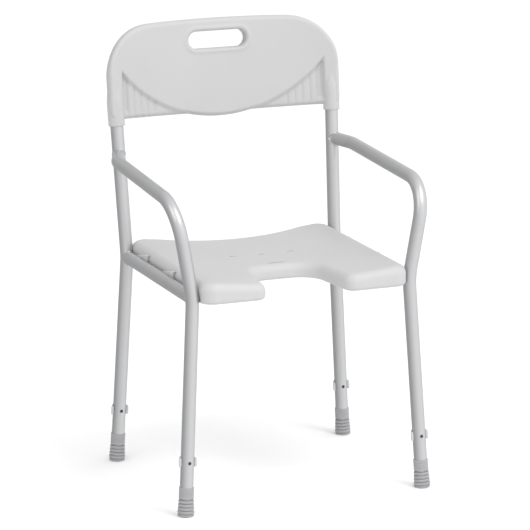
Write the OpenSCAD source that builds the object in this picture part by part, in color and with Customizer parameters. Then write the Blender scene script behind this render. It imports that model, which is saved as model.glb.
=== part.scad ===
// Shower chair with a back and arms. Two bent-tube side frames carry a moulded
// seat and a moulded backrest, and every leg has a telescopic foot locked by a
// pull-out clip. Millimetres, +Z up. The sitter faces -Y, and left is -X, as
// seen by someone standing in front of the chair.

/* [Stance] */
// Distance between the feet from side to side, at the floor
stance_w = 487; // [450:1:520]
// Distance between the front and rear feet, at the floor
stance_d = 386; // [350:1:420]

/* [Side frames] */
// Outer diameter of the frame tube
tube_d = 25.4; // [25:0.1:28]
// Wall of the frame tube
tube_wall = 1.5; // [1.2:0.1:2]
// Height of the seat rails' axes above the floor
rail_h = 412.5; // [380:0.5:480]
// Distance between the axes of the two seat rails
rail_span = 440; // [400:1:460]
// How far a front leg runs forward on its way down from the rail
front_rake = 19.5; // [10:0.5:30]
// How far a rear leg runs backward on its way down from the rail
rear_rake = 5.5; // [0:0.5:15]
// Bend radius where each leg changes direction at the rail
knee_r = 175; // [120:5:200]
// Backward lean of the back posts, degrees from upright
back_lean = 7.4; // [4:0.1:12]
// Outward splay of the back posts, degrees
back_splay = 1.45; // [0:0.05:3]

/* [Arms] */
// Height of the arm's front corner above the rail
arm_rise = 177.5; // [150:0.5:220]
// Distance between the axes of the arms at their front corners
arm_span = 504; // [480:1:540]
// How much higher the arm is at its rear end than at its front
arm_slope = 18; // [0:1:30]
// Distance between the axes of the arms at their rear bends
arm_rear_span = 493; // [470:1:520]
// Distance from the back post to the arm's rear bend
arm_bend_gap = 53; // [45:1:70]
// Bend radius at the arm's front corner
arm_front_r = 73; // [50:1:85]
// Bend radius at the arm's rear bend
arm_rear_r = 45; // [30:1:55]

/* [Leg adjustment] */
// Wall of the leg extension
ext_wall = 1.6; // [1.2:0.1:2]
// Distance between two height holes
hole_pitch = 12.7; // [10:0.1:15]
// Number of height steps above the lowest one
height_steps = 6; // [4:1:7]
// Height of the locking pin, along the leg from the floor
pin_h = 103; // [95:1:115]
// Diameter of the locking pin
pin_d = 6; // [5:0.5:7]
// How far a clip pulls out
clip_travel = 28; // [26:1:32]
// Height of the clip
clip_h = 21; // [16:1:26]
// Wall of the clip
clip_wall = 2.2; // [1.8:0.1:3]
// Bottom of the leg cuff, along the leg from the floor
cuff_base = 33.5; // [33:0.5:40]
// Height of the leg cuff
cuff_h = 22; // [18:1:26]
// Wall of the cuff outside the frame tube
cuff_wall = 1.5; // [1.2:0.1:2.5]
// Height of the rubber tip
tip_h = 31.5; // [26:0.5:32]
// Diameter of the rubber tip at the floor
tip_d = 33; // [32:0.5:36]
// Rubber round the leg extension at the tip's mouth
tip_wall = 3.4; // [2.5:0.1:4]
// Rubber between the tube and the floor
tip_floor = 8; // [6:0.5:12]
// Thickness of the steel washer inside the tip
washer_t = 1.5; // [1:0.1:2]

/* [Seat] */
// Depth of the seat from the front lobes to the rear wings
seat_d = 414; // [380:1:430]
// Thickness of the seat at its edges
seat_t = 39; // [36:1:44]
// Height of the seat's edge above the rails' axes
seat_rise = 29.5; // [27:0.5:34]
// Wall of the moulded seat
seat_wall = 3; // [2.4:0.1:4]
// How far the middle of the seat is dished
seat_dish = 10; // [4:1:12]
// How far the rear edge of the seat is scooped forward
seat_scoop = 26; // [10:1:40]
// Depth of the front cut-out
cut_depth = 140; // [100:1:160]
// Width of the front cut-out
cut_w = 128; // [100:1:150]
// Length of a rail hook on the seat
hook_l = 50; // [40:1:60]

/* [Backrest] */
// Height of the backrest, along its lean
back_h = 184; // [165:1:200]
// Distance from the rails' axes to the backrest's lower edge, along its lean
back_base = 268; // [255:1:285]
// Thickness of the backrest shell
back_t = 26; // [24:1:32]
// How far the smooth front panel stands proud
panel_proud = 8; // [4:1:10]
// How far the middle of the backrest bows to the rear
back_bow = 34; // [20:1:40]
// Wall of the moulded backrest
back_wall = 3; // [2.4:0.1:4]
// Corner radius at the top of the backrest
back_corner_r = 96; // [60:1:105]
// Width of the hand slot
slot_w = 124; // [100:1:140]
// Height of the hand slot
slot_h = 34; // [28:1:38]
// Wall of the sleeve round each back post
sleeve_wall = 3.3; // [3:0.1:4]

/* [Fits] */
// Radial gap between a leg extension and the tube that it slides in
slide_gap = 0.1; // [0.05:0.01:0.1]
// Gap between parts that touch or clip together but are not one piece
rest_gap = 0.15; // [0.1:0.01:0.25]
// Gap round a pin in its hole, and between a clip and its leg
pin_gap = 0.3; // [0.3:0.05:0.5]

/* [Hidden] */
$fn = 64;

tube_r = tube_d / 2;
pin_r = pin_d / 2;
bore_r = tube_r - tube_wall;
ext_r = bore_r - slide_gap;
tip_mouth_r = ext_r + tip_wall;
sleeve_r = tube_r + sleeve_wall;

// Small overlap that lets a cut run clean through a face
over = 1;
// Gap left at each seam between a straight and a bend, and how much wider than
// the bar its closing ball is
seam_gap = 0.2;
seam_swell = 0.15;
// Gap that a coped tube end leaves for its weld
weld_gap = 0.15;
// Gap between the seat and the upright tubes beside it
post_gap = 0.6;

// The backrest's frame: origin on the rails' level between the posts, +Z up the
// lean, +Y out of its rear face.
back_s = sin(back_lean);
back_c = cos(back_lean);
back_top = back_base + back_h;
post_top = back_base + 67;
post_tilt = atan(tan(back_splay) * back_c);
bow_power = 2.6;
bow_steps = 14;
back_half = rail_span / 2 + back_base * tan(post_tilt);

// The origin is under the middle of the chair's footprint, between the front of
// the front tips and the rear of the backrest.
tip_reach = stance_d / 2 + tip_d / 2;
back_reach = stance_d / 2 - rear_rake + back_top * back_s + (back_bow + back_t / 2) * back_c;
mid_y = (tip_reach - back_reach) / 2;

// Corners of the right-hand side frame, on the tube axes
front_foot = [stance_w / 2, mid_y - stance_d / 2, 0];
rear_foot = [stance_w / 2, mid_y + stance_d / 2, 0];
front_knee = [rail_span / 2, front_foot.y + front_rake, rail_h];
rear_knee = [rail_span / 2, rear_foot.y - rear_rake, rail_h];
post_dir = unit([tan(back_splay) * back_c, back_s, back_c]);
arm_corner = [arm_span / 2, front_knee.y + 0.5, rail_h + arm_rise];
arm_joint_z = arm_rise + arm_slope + 3.5;
arm_joint = rear_knee + post_dir * (arm_joint_z / back_c);
arm_bend = [arm_rear_span / 2, arm_joint.y - arm_bend_gap, arm_corner.z + arm_slope];
post_end = rear_knee + post_dir * post_top;

// Seat
seat_top = rail_h + seat_rise;
seat_bottom = seat_top - seat_t;
seat_half = rail_span / 2 - tube_r + 3;
seat_front = front_foot.y - 10;
seat_rear = seat_front + seat_d;
seat_plan_r = 28;
seat_edge_r = 17;
seat_under_r = 8;
hook_fronts = [seat_front + 154, seat_front + 296];
hook_reach = 5;
hook_t = 3;
relief_w = 6;
relief_h = 11;
relief_in = 9;
drains = [[0, -46, 34], [-60, 28, 14], [0, 28, 14], [60, 28, 14]];
drain_w = 5;
cut_corner_r = 44;
cut_lip_r = 22;
cut_flare = 18;

function unit(v) = v / norm(v);
function turn_at(p, i) = acos(unit(p[i] - p[i - 1]) * unit(p[i + 1] - p[i]));
function bow(x) = back_bow * (1 - pow(abs(x) / back_half, bow_power));

// Foot and knee of one leg on the right-hand side
function foot(front) = front ? front_foot : rear_foot;
function knee(front) = front ? front_knee : rear_knee;

// Stand children at p with +Z along d and +Y kept towards the rear.
module along(p, d) {
    u = unit(d);
    translate(p)
        rotate([-asin(u.y), atan2(u.x, u.z), 0])
            children();
}

// Children drawn for the right side, put on the side named.
module on_side(left) {
    mirror([left ? 1 : 0, 0, 0])
        children();
}

module at_leg(front) {
    along(foot(front), knee(front) - foot(front))
        children();
}

module ring(h, r_out, r_in) {
    linear_extrude(h)
        difference() {
            circle(r_out);
            circle(r_in);
        }
}

// A solid bend at corner b, on the way from a to c. It stops short of its ends
// by seam_gap, for the seam balls to close.
module bend(a, b, c, bend_r, r) {
    u = unit(b - a);
    v = unit(c - b);
    turn = acos(u * v);
    short = asin(seam_gap / bend_r);
    n = unit(v - u * (u * v));
    w = cross(-n, u);
    o = b - u * bend_r * tan(turn / 2) + n * bend_r;
    multmatrix([
        [-n.x, u.x, w.x, o.x],
        [-n.y, u.y, w.y, o.y],
        [-n.z, u.z, w.z, o.z],
        [0, 0, 0, 1]])
        rotate([0, 0, short])
            rotate_extrude(angle = turn - 2 * short)
                translate([bend_r, 0])
                    circle(r);
}

// A solid bar of radius r through the points p, with a bend radius for each
// inner point. A ball a hair wider than the bar closes each seam between a
// straight and a bend, so that no two faces are tangent.
module bent_bar(p, bends, r) {
    last = len(p) - 1;
    take = [for (i = [0:last])
        i == 0 || i == last ? 0 : bends[i - 1] * tan(turn_at(p, i) / 2)];
    for (i = [0:last - 1]) {
        u = unit(p[i + 1] - p[i]);
        a = p[i] + u * (take[i] + (i == 0 ? 0 : seam_gap));
        b = p[i + 1] - u * (take[i + 1] + (i + 1 == last ? 0 : seam_gap));
        along(a, b - a)
            cylinder(h = norm(b - a), r = r);
    }
    for (i = [1:last - 1]) {
        bend(p[i - 1], p[i], p[i + 1], bends[i - 1], r);
        for (q = [p[i - 1], p[i + 1]])
            translate(p[i] + unit(q - p[i]) * take[i])
                sphere(r + seam_swell);
    }
}

// Where the frame tube of a leg starts, just above the cuff's lip
cuff_lip = 2.5;
function leg_dir(front) = unit(knee(front) - foot(front));
function leg_start(front) = foot(front) + leg_dir(front) * (cuff_base + cuff_lip);

module leg_pin_hole(front) {
    at_leg(front)
        translate([0, 0, pin_h])
            rotate([90, 0, 0])
                cylinder(h = 2 * tube_d, r = pin_r + pin_gap, center = true);
}

// The rear post's shape, solid with radius r. It runs on by extra at its ends.
module rear_post_shape(r, extra = 0) {
    bent_bar([leg_start(false) - leg_dir(false) * extra, rear_knee, post_end + post_dir * extra],
        [knee_r], r);
}

module front_leg_shape(r, extra = 0) {
    bent_bar([leg_start(true) - leg_dir(true) * extra, front_knee, arm_corner, arm_bend, arm_joint],
        [knee_r, arm_front_r, arm_rear_r], r);
}

module rear_post(left) {
    color("silver")
        on_side(left)
            difference() {
                rear_post_shape(tube_r);
                rear_post_shape(bore_r, over);
                leg_pin_hole(false);
                back_screw_place()
                    cylinder(h = 3 * screw_l, r = screw_r, center = true);
            }
}

// The arm's rear end is coped to the post, and both are welded there.
module front_leg_arm(left) {
    color("silver")
        on_side(left)
            difference() {
                front_leg_shape(tube_r);
                front_leg_shape(bore_r, over);
                along(rear_knee, post_dir)
                    translate([0, 0, arm_rise / 2])
                        cylinder(h = back_base, r = tube_r + weld_gap);
                leg_pin_hole(true);
            }
}

// What a rail's end is coped to: the middle of the knee bend at b, straightened
module cope(a, b, c) {
    u = unit(b - a);
    v = unit(c - b);
    off = knee_r * (1 / cos(acos(u * v) / 2) - 1);
    along(b + unit(v - u) * off - unit(u + v) * tube_d, u + v)
        cylinder(h = 2 * tube_d, r = tube_r + weld_gap);
}

// The rail is coped at both ends.
module side_rail(left) {
    color("silver")
        on_side(left)
            difference() {
                along(rear_knee, front_knee - rear_knee)
                    ring(norm(front_knee - rear_knee), tube_r, bore_r);
                cope(rear_foot, rear_knee, post_end);
                cope(front_foot, front_knee, arm_corner);
            }
}

module leg_cuff(front, left) {
    color("lightgray")
        on_side(left)
            at_leg(front)
                translate([0, 0, cuff_base])
                    rotate_extrude()
                        polygon([
                            [ext_r + slide_gap, 0],
                            [tube_r + cuff_wall - 0.6, 0],
                            [tube_r + cuff_wall, 0.6],
                            [tube_r + cuff_wall, cuff_h - 0.8],
                            [tube_r + cuff_wall - 0.8, cuff_h],
                            [tube_r, cuff_h],
                            [tube_r, cuff_lip],
                            [ext_r + slide_gap, cuff_lip]]);
}

// Lowest point of the extension tube, on the washer
ext_base = tip_floor + washer_t;
ext_top = pin_h + hole_pitch * height_steps + 28;

module leg_extension(front, left) {
    color("silver")
        on_side(left)
            at_leg(front)
                difference() {
                    translate([0, 0, ext_base])
                        ring(ext_top - ext_base, ext_r, ext_r - ext_wall);
                    for (i = [0:height_steps])
                        translate([0, 0, pin_h + i * hole_pitch])
                            rotate([90, 0, 0])
                                cylinder(h = tube_d, r = pin_r + pin_gap, center = true);
                }
}

// Ribs run round the tip, and its base is cut flat to the floor.
tip_ribs = 4;
tip_groove = 1.2;

module rubber_tip(front, left) {
    color("gray")
        on_side(left)
            difference() {
                at_leg(front)
                    rotate_extrude()
                        difference() {
                            polygon([
                                [0, -2],
                                [tip_d / 2, -2],
                                [tip_d / 2, 3],
                                [tip_mouth_r, tip_h - 4],
                                [tip_mouth_r, tip_h],
                                [ext_r, tip_h],
                                [ext_r, tip_floor],
                                [0, tip_floor]]);
                            for (i = [1:tip_ribs])
                                translate([rib_x(i), rib_z(i)])
                                    circle(tip_groove, $fn = 24);
                        }
                translate([0, 0, -tip_h])
                    translate([foot(front).x, foot(front).y, 0])
                        cylinder(h = tip_h, r = tip_d);
            }
}

function rib_z(i) = 3 + (tip_h - 7) * (i - 0.5) / tip_ribs;
function rib_x(i) = tip_d / 2 + (tip_mouth_r - tip_d / 2) * (i - 0.5) / tip_ribs + 0.4;

module tip_washer(front, left) {
    color("dimgray")
        on_side(left)
            at_leg(front)
                translate([0, 0, tip_floor])
                    ring(washer_t, ext_r - 0.2, 4);
}

// A U of plastic round the back of the leg, with ribbed ears for the fingers and
// a boss that holds the pin.
clip_in = tube_r + pin_gap;
clip_out = clip_in + clip_wall;
ear_reach = 4;
ear_out = clip_out + 1.8;
boss_r = 5.5;
boss_end = clip_out + 4;
pin_nose = ext_r - ext_wall + 1;

module height_clip(front, left) {
    color("white")
        on_side(left)
            at_leg(front)
                translate([0, 0, pin_h])
                    difference() {
                        union() {
                            translate([0, 0, -clip_h / 2])
                                linear_extrude(clip_h)
                                    clip_plan();
                            rotate([-90, 0, 0])
                                cylinder(h = boss_end, r = boss_r);
                        }
                        translate([0, 0, -clip_h])
                            cylinder(h = 2 * clip_h, r = clip_in);
                        rotate([90, 0, 0])
                            cylinder(h = 4 * tube_d, r = pin_r, center = true);
                        for (s = [-1, 1], k = [-1:1])
                            translate([s * ear_out, 0, k * clip_h / 4])
                                rotate([90, 0, 0])
                                    cylinder(h = 4 * ear_reach, r = 1, center = true, $fn = 24);
                    }
}

module clip_plan() {
    difference() {
        union() {
            circle(clip_out);
            for (s = [-1, 1])
                polygon([
                    [s * clip_in, 0],
                    [s * clip_out, 2],
                    [s * ear_out, 0],
                    [s * ear_out, -ear_reach],
                    [s * clip_in, -ear_reach]]);
        }
        circle(clip_in);
        translate([-clip_in, -2 * tube_d])
            square([2 * clip_in, 2 * tube_d]);
        translate([-tube_d, -2 * tube_d - ear_reach])
            square([2 * tube_d, 2 * tube_d]);
    }
}

module clip_pin(front, left) {
    color("dimgray")
        on_side(left)
            at_leg(front)
                translate([0, boss_end, pin_h])
                    rotate([90, 0, 0])
                        cylinder(h = boss_end + pin_nose, r = pin_r);
}

// Plan of the front cut-out, grown by g
module cut_plan(g) {
    half = cut_w / 2 + g;
    r = cut_corner_r + g;
    rear_y = seat_front + cut_depth + g;
    for (s = [-1, 1])
        translate([s * (half - r), rear_y - r])
            circle(r);
    translate([-(half - r), rear_y - 2 * r])
        square([2 * (half - r), 2 * r]);
    polygon([
        [-half, rear_y - r],
        [half, rear_y - r],
        [half + cut_flare, seat_front - over],
        [-half - cut_flare, seat_front - over]]);
}

// The two round corners where the cut-out meets the front edge, grown by g
module cut_lips(g) {
    half = cut_w / 2 + g;
    for (s = [-1, 1])
        difference() {
            translate([s * (half + cut_flare - 2 + cut_lip_r / 2), seat_front + cut_lip_r / 2])
                square(cut_lip_r + 4, center = true);
            translate([s * (half + cut_flare - 3 + cut_lip_r), seat_front + cut_lip_r + g])
                circle(cut_lip_r);
        }
}

// Plan of the seat, taken in by g
module seat_plan(g) {
    half = seat_half - g;
    r = seat_plan_r - g;
    scoop_half = seat_half - 60;
    scoop_r = (scoop_half * scoop_half + seat_scoop * seat_scoop) / (2 * seat_scoop);
    difference() {
        union() {
            translate([-half, seat_front + g + r])
                square([2 * half, seat_d - 2 * (g + r)]);
            translate([-half + r, seat_front + g])
                square([2 * (half - r), seat_d - 2 * g]);
            for (s = [-1, 1], y = [seat_front + g + r, seat_rear - g - r])
                translate([s * (half - r), y])
                    circle(r);
        }
        translate([0, seat_rear - seat_scoop + scoop_r])
            circle(scoop_r + g, $fn = 256);
        cut_plan(g);
        cut_lips(g);
    }
}

// A rounded bar as long as len whose section is w by h, taken in by g: the edge
// rounding of the seat. Its bottom is at z0.
module edge_bar(w, len, z0, h, g) {
    top_r = seat_edge_r - g;
    low_r = seat_under_r - g / 2;
    translate([0, len / 2, 0])
        rotate([90, 0, 0])
            linear_extrude(len)
                union() {
                    translate([-w / 2 + g, z0 + g + low_r])
                        square([w - 2 * g, h - 2 * g - low_r - top_r]);
                    translate([-w / 2 + g + top_r, z0 + h - g - top_r])
                        square([w - 2 * g - 2 * top_r, top_r]);
                    translate([-w / 2 + g + low_r, z0 + g])
                        square([w - 2 * g - 2 * low_r, low_r]);
                    for (s = [-1, 1]) {
                        translate([s * (w / 2 - g - top_r), z0 + h - g - top_r])
                            circle(top_r);
                        translate([s * (w / 2 - g - low_r), z0 + g + low_r])
                            circle(low_r);
                    }
                }
}

// The seat's body, taken in by g: its plan, its edge rounding and its dish
module seat_body(g) {
    dish_half = seat_half - 30;
    dish_r = (dish_half * dish_half + seat_dish * seat_dish) / (2 * seat_dish);
    difference() {
        intersection() {
            translate([0, 0, seat_bottom - over])
                linear_extrude(seat_t + 2 * over)
                    seat_plan(g);
            translate([0, (seat_front + seat_rear) / 2, 0])
                edge_bar(2 * seat_half, 2 * seat_d, seat_bottom, seat_t, g);
            translate([0, (seat_front + seat_rear) / 2, 0])
                rotate([0, 0, 90])
                    edge_bar(seat_d, 4 * seat_half, seat_bottom, seat_t, g);
        }
        translate([0, 0, seat_top - seat_dish + dish_r])
            rotate([90, 0, 0])
                cylinder(h = 4 * seat_d, r = dish_r + g, center = true, $fn = 256);
    }
}

// Rail hooks: a lip over the rail with a ramped top, and a claw under it
module seat_hooks() {
    grip = tube_r + rest_gap;
    for (s = [-1, 1], y = hook_fronts) {
        translate([s * (seat_half - 12), 0, 0])
            mirror([s < 0 ? 1 : 0, 0, 0])
                rotate([90, 0, 90])
                    linear_extrude(12 + hook_reach)
                        polygon([
                            [y, rail_h + 6],
                            [y, rail_h + 22.5],
                            [y + hook_l, rail_h + 12.5],
                            [y + hook_l, rail_h + 6]]);
        translate([s * rail_span / 2, y + hook_l, rail_h])
            rotate([90, 0, 0])
                linear_extrude(hook_l)
                    difference() {
                        circle(grip + hook_t);
                        circle(grip);
                        translate([s > 0 ? 0 : -40, -20])
                            square([40, 60]);
                        translate([-20, 0])
                            square([40, 40]);
                    }
    }
}

module drain_holes(g) {
    for (d = drains)
        translate([0, (seat_front + seat_rear) / 2, seat_bottom - over])
            linear_extrude(seat_t + 2 * over) {
                translate([d[0] - (d[2] - drain_w) / 2, d[1] - drain_w / 2 - g])
                    square([d[2] - drain_w, drain_w + 2 * g]);
                for (s = [-1, 1])
                    translate([d[0] + s * (d[2] - drain_w) / 2, d[1]])
                        circle(drain_w / 2 + g);
            }
}

module seat() {
    color("gainsboro")
        difference() {
            union() {
                difference() {
                    seat_body(0);
                    difference() {
                        seat_body(seat_wall);
                        drain_holes(seat_wall);
                        for (s = [-1, 1])
                            translate([s * (rail_span / 2), mid_y, rail_h])
                                rotate([90, 0, 0])
                                    cylinder(h = 2 * seat_d, r = tube_r + seat_wall, center = true);
                        for (s = [-1, 1], y = hook_fronts)
                            translate([s * seat_half, y - relief_w / 2, rail_h + relief_h])
                                cube([2 * relief_in + 2 * seat_wall, relief_w + 2 * seat_wall,
                                    relief_h + 2 * seat_wall + 6], center = true);
                    }
                }
                seat_hooks();
            }
            drain_holes(0);
            for (s = [-1, 1]) {
                translate([s * rail_span / 2, mid_y, rail_h])
                    rotate([90, 0, 0])
                        cylinder(h = 2 * seat_d, r = tube_r + rest_gap, center = true);
                for (y = hook_fronts)
                    translate([s * (seat_half + hook_reach - relief_in / 2 + over),
                        y - relief_w / 2, rail_h + relief_h + 4])
                        cube([relief_in + 2 * hook_reach, relief_w, relief_h], center = true);
            }
            for (left = [false, true])
                on_side(left) {
                    bent_bar([rear_foot, rear_knee, post_end], [knee_r], tube_r + post_gap);
                    bent_bar([front_foot, front_knee, arm_corner], [knee_r], tube_r + post_gap);
                }
        }
}

// Outline of the backrest's front view, taken in by g
module back_outline(g) {
    half = back_half + 14 - g;
    r = back_corner_r - g;
    crown = 9;
    crown_r = (half * half + crown * crown) / (2 * crown);
    intersection() {
        union() {
            translate([-half, back_base + g])
                square([2 * half, back_h - g - r - crown / 2]);
            translate([-half + r, back_base + g])
                square([2 * (half - r), back_h - 2 * g]);
            for (s = [-1, 1])
                translate([s * (half - r), back_top - g - r - crown / 2])
                    circle(r);
            intersection() {
                smile_outline(g);
                translate([-half, back_base - sleeve_drop])
                    square([2 * half, 3 * sleeve_drop]);
            }
        }
        translate([0, back_top - g - crown_r])
            circle(crown_r, $fn = 256);
    }
}

// The lower edge of the smooth panel is one large arc.
module smile_outline(g) {
    smile_r = 280;
    smile_drop = 8;
    intersection() {
        translate([0, back_base - smile_drop + smile_r])
            circle(smile_r - g, $fn = 128);
        translate([-back_half - 14, back_base - smile_drop])
            square([2 * back_half + 28, back_h + smile_drop]);
    }
}

// Plan of the bowed shell, from y0 to y1 about its middle surface
module bow_plan(y0, y1, half) {
    polygon(concat(
        [for (i = [-bow_steps:bow_steps]) [half * i / bow_steps, bow(half * i / bow_steps) + y0]],
        [for (i = [bow_steps:-1:-bow_steps]) [half * i / bow_steps, bow(half * i / bow_steps) + y1]]));
}

module bowed(y0, y1, half) {
    translate([0, 0, back_base - 40])
        linear_extrude(back_h + 80)
            bow_plan(y0, y1, half);
}

// A front-view outline pushed right through the backrest
module through_back() {
    translate([0, 150, 0])
        rotate([90, 0, 0])
            linear_extrude(300)
                children();
}

module slot_outline(g) {
    z = back_base + back_h - 42;
    translate([-(slot_w - slot_h) / 2, z - slot_h / 2 - g])
        square([slot_w - slot_h, slot_h + 2 * g]);
    for (s = [-1, 1])
        translate([s * (slot_w - slot_h) / 2, z])
            circle(slot_h / 2 + g);
}

module in_back_frame() {
    translate([0, rear_knee.y, rail_h])
        rotate([-back_lean, 0, 0])
            children();
}

// Children along the axis of one back post, in the backrest's frame
module at_post(left) {
    on_side(left)
        translate([rail_span / 2, 0, 0])
            rotate([0, post_tilt, 0])
                children();
}

sleeve_drop = 12;
screw_r = 2.5;
screw_l = 12;
screw_head_r = 4.6;
screw_head_h = 2.6;
screw_z = back_base + 30;

// The screw goes through the sleeve's rear wall into the post. Here +Z runs
// out of the rear face from the post's axis.
module back_screw_place() {
    in_back_frame()
        at_post(false)
            translate([0, 0, screw_z])
                rotate([-90, 0, 0])
                    children();
}

module backrest() {
    shell_half = back_half + 14;
    color("gainsboro")
        difference() {
            in_back_frame()
                difference() {
                    union() {
                        intersection() {
                            bowed(panel_proud - back_t / 2, back_t / 2, shell_half);
                            through_back() back_outline(0);
                        }
                        intersection() {
                            bowed(-back_t / 2, 0, shell_half);
                            through_back()
                                intersection() {
                                    smile_outline(0);
                                    back_outline(0);
                                }
                        }
                        for (left = [false, true])
                            at_post(left) {
                                translate([0, 0, back_base - sleeve_drop])
                                    cylinder(h = post_top + 3 - back_base + sleeve_drop, r = sleeve_r);
                                translate([0, 0, post_top + 3])
                                    sphere(sleeve_r);
                            }
                    }
                    difference() {
                        intersection() {
                            bowed(panel_proud - back_t / 2 + back_wall, back_t / 2 - back_wall,
                                back_half - 24);
                            through_back() back_outline(6);
                        }
                        through_back() slot_outline(back_wall);
                    }
                    through_back() slot_outline(0);
                    for (left = [false, true])
                        at_post(left)
                            cylinder(h = post_top + rest_gap, r = tube_r + rest_gap);
                }
            for (left = [false, true])
                on_side(left)
                    back_screw_place() {
                        cylinder(h = 2 * sleeve_r, r = screw_r);
                        translate([0, 0, sleeve_r - 1])
                            cylinder(h = sleeve_r, r = screw_head_r + rest_gap);
                    }
        }
}

module back_screws() {
    color("silver")
        for (left = [false, true])
            on_side(left)
                back_screw_place() {
                    translate([0, 0, sleeve_r - 1 - screw_l])
                        cylinder(h = screw_l, r = screw_r);
                    translate([0, 0, sleeve_r - 1])
                        cylinder(h = screw_head_h, r = screw_head_r);
                }
}

seat();
backrest();
back_screws();
rear_post(true);  // rear_post_left
rear_post(false);  // rear_post_right
front_leg_arm(true);  // front_leg_arm_left
front_leg_arm(false);  // front_leg_arm_right
side_rail(true);  // side_rail_left
side_rail(false);  // side_rail_right
leg_cuff(true, true);  // leg_cuff_front_left
leg_cuff(true, false);  // leg_cuff_front_right
leg_cuff(false, true);  // leg_cuff_rear_left
leg_cuff(false, false);  // leg_cuff_rear_right
leg_extension(true, true);  // leg_extension_front_left
leg_extension(true, false);  // leg_extension_front_right
leg_extension(false, true);  // leg_extension_rear_left
leg_extension(false, false);  // leg_extension_rear_right
rubber_tip(true, true);  // rubber_tip_front_left
rubber_tip(true, false);  // rubber_tip_front_right
rubber_tip(false, true);  // rubber_tip_rear_left
rubber_tip(false, false);  // rubber_tip_rear_right
tip_washer(true, true);  // tip_washer_front_left
tip_washer(true, false);  // tip_washer_front_right
tip_washer(false, true);  // tip_washer_rear_left
tip_washer(false, false);  // tip_washer_rear_right
height_clip(true, true);  // height_clip_front_left
height_clip(true, false);  // height_clip_front_right
height_clip(false, true);  // height_clip_rear_left
height_clip(false, false);  // height_clip_rear_right
clip_pin(true, true);  // clip_pin_front_left
clip_pin(true, false);  // clip_pin_front_right
clip_pin(false, true);  // clip_pin_rear_left
clip_pin(false, false);  // clip_pin_rear_right
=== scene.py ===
# %% [markdown]
# # A shower chair, one surface at a time
# The frame of the chair is loaded first: it is the exact model that moves and collides. What
# Blender adds is the look of each piece. Nearly every piece here is a surface worked out with
# numpy, because a chair like this is made of three simple families of shape: bent tubes,
# turned rings and moulded plates.

import bpy
import numpy as np
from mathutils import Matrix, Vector
from mathutils.geometry import delaunay_2d_cdt


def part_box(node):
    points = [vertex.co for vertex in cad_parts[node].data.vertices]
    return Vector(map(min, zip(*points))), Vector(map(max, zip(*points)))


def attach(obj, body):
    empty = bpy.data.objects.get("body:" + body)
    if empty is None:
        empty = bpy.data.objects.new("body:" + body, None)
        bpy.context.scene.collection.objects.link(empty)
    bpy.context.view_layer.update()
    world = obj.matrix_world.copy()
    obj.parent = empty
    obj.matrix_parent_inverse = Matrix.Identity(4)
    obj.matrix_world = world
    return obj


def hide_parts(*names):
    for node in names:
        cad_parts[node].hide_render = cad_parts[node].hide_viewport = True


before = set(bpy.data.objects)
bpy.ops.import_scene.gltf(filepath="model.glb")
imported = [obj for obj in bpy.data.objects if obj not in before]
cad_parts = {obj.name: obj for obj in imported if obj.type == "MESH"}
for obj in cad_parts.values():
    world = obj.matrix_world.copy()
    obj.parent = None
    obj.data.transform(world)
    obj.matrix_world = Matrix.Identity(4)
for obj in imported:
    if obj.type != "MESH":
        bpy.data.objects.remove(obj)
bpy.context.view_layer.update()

# %% [markdown]
# ## The sizes that the looks share with the frame
# The tubes are 25.4 mm across, which is one inch, the usual stock for such frames. Heights are
# millimetres above the floor, x runs from the chair's left to its right as seen from in front,
# and the sitter looks towards -y. One number, how far the footprint is from the middle of the
# box, is read from a front tip, so that it can't drift from the frame. The tip leans with its
# leg, so the middle of its box is a hair behind the middle of the foot.

# %% Shared sizes and tube corners
MM = 0.001
TUBE_R, BORE_R = 12.7, 11.2
SEAT_TOP, SEAT_BOTTOM, RAIL_H = 442.0, 403.0, 412.5
FOOT_X, RAIL_X, FOOTPRINT_DEPTH = 243.5, 220.0, 386.0
TIP_OFF_MIDDLE = 0.07

tip_low, tip_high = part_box("rubber_tip_front_right")
front_y = (tip_low.y + tip_high.y) / 2 / MM - TIP_OFF_MIDDLE
rear_y = front_y + FOOTPRINT_DEPTH
FRONT_FOOT = np.array([FOOT_X, front_y, 0.0])
REAR_FOOT = np.array([FOOT_X, rear_y, 0.0])
FRONT_KNEE = np.array([RAIL_X, front_y + 19.5, RAIL_H])
REAR_KNEE = np.array([RAIL_X, rear_y - 5.5, RAIL_H])

LEAN = np.radians(7.4)
SPLAY = np.radians(1.45)
POST_DIR = np.array([np.tan(SPLAY) * np.cos(LEAN), np.sin(LEAN), np.cos(LEAN)])
ARM_CORNER = np.array([252.0, FRONT_KNEE[1] + 0.5, 590.0])
ARM_JOINT = REAR_KNEE + POST_DIR * (199.0 / np.cos(LEAN))
ARM_BEND = np.array([246.5, ARM_JOINT[1] - 53.0, 608.0])
SIDES = (("left", -1), ("right", 1))
ENDS = (("front", FRONT_FOOT, FRONT_KNEE), ("rear", REAR_FOOT, REAR_KNEE))
print("foot middles, mm:", FRONT_FOOT.round(1), REAR_FOOT.round(1))

# %% [markdown]
# ## From arrays to a mesh
# A mesh is a list of points and a list of faces that name points by number. A surface on a grid
# needs only its points: the faces follow from the grid. Where a row or a column closes on
# itself, its last faces use the first points again, so no seam opens.

# %% Grid faces and the mesh itself
def grid_faces(rows, cols, wrap_rows=False):
    """Quads between neighbours of rows x cols points. Each row is a ring that closes on itself."""
    r, c = np.meshgrid(np.arange(rows if wrap_rows else rows - 1), np.arange(cols), indexing="ij")
    r2, c2 = (r + 1) % rows, (c + 1) % cols
    return np.stack([r * cols + c, r * cols + c2, r2 * cols + c2, r2 * cols + c], -1).reshape(-1, 4)


def capped_faces(rows, cols):
    """Quads between rings, and one flat face over the first ring and over the last."""
    last = (rows - 1) * cols
    return grid_faces(rows, cols).tolist() + [list(range(cols))[::-1], list(range(last, last + cols))]


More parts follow.
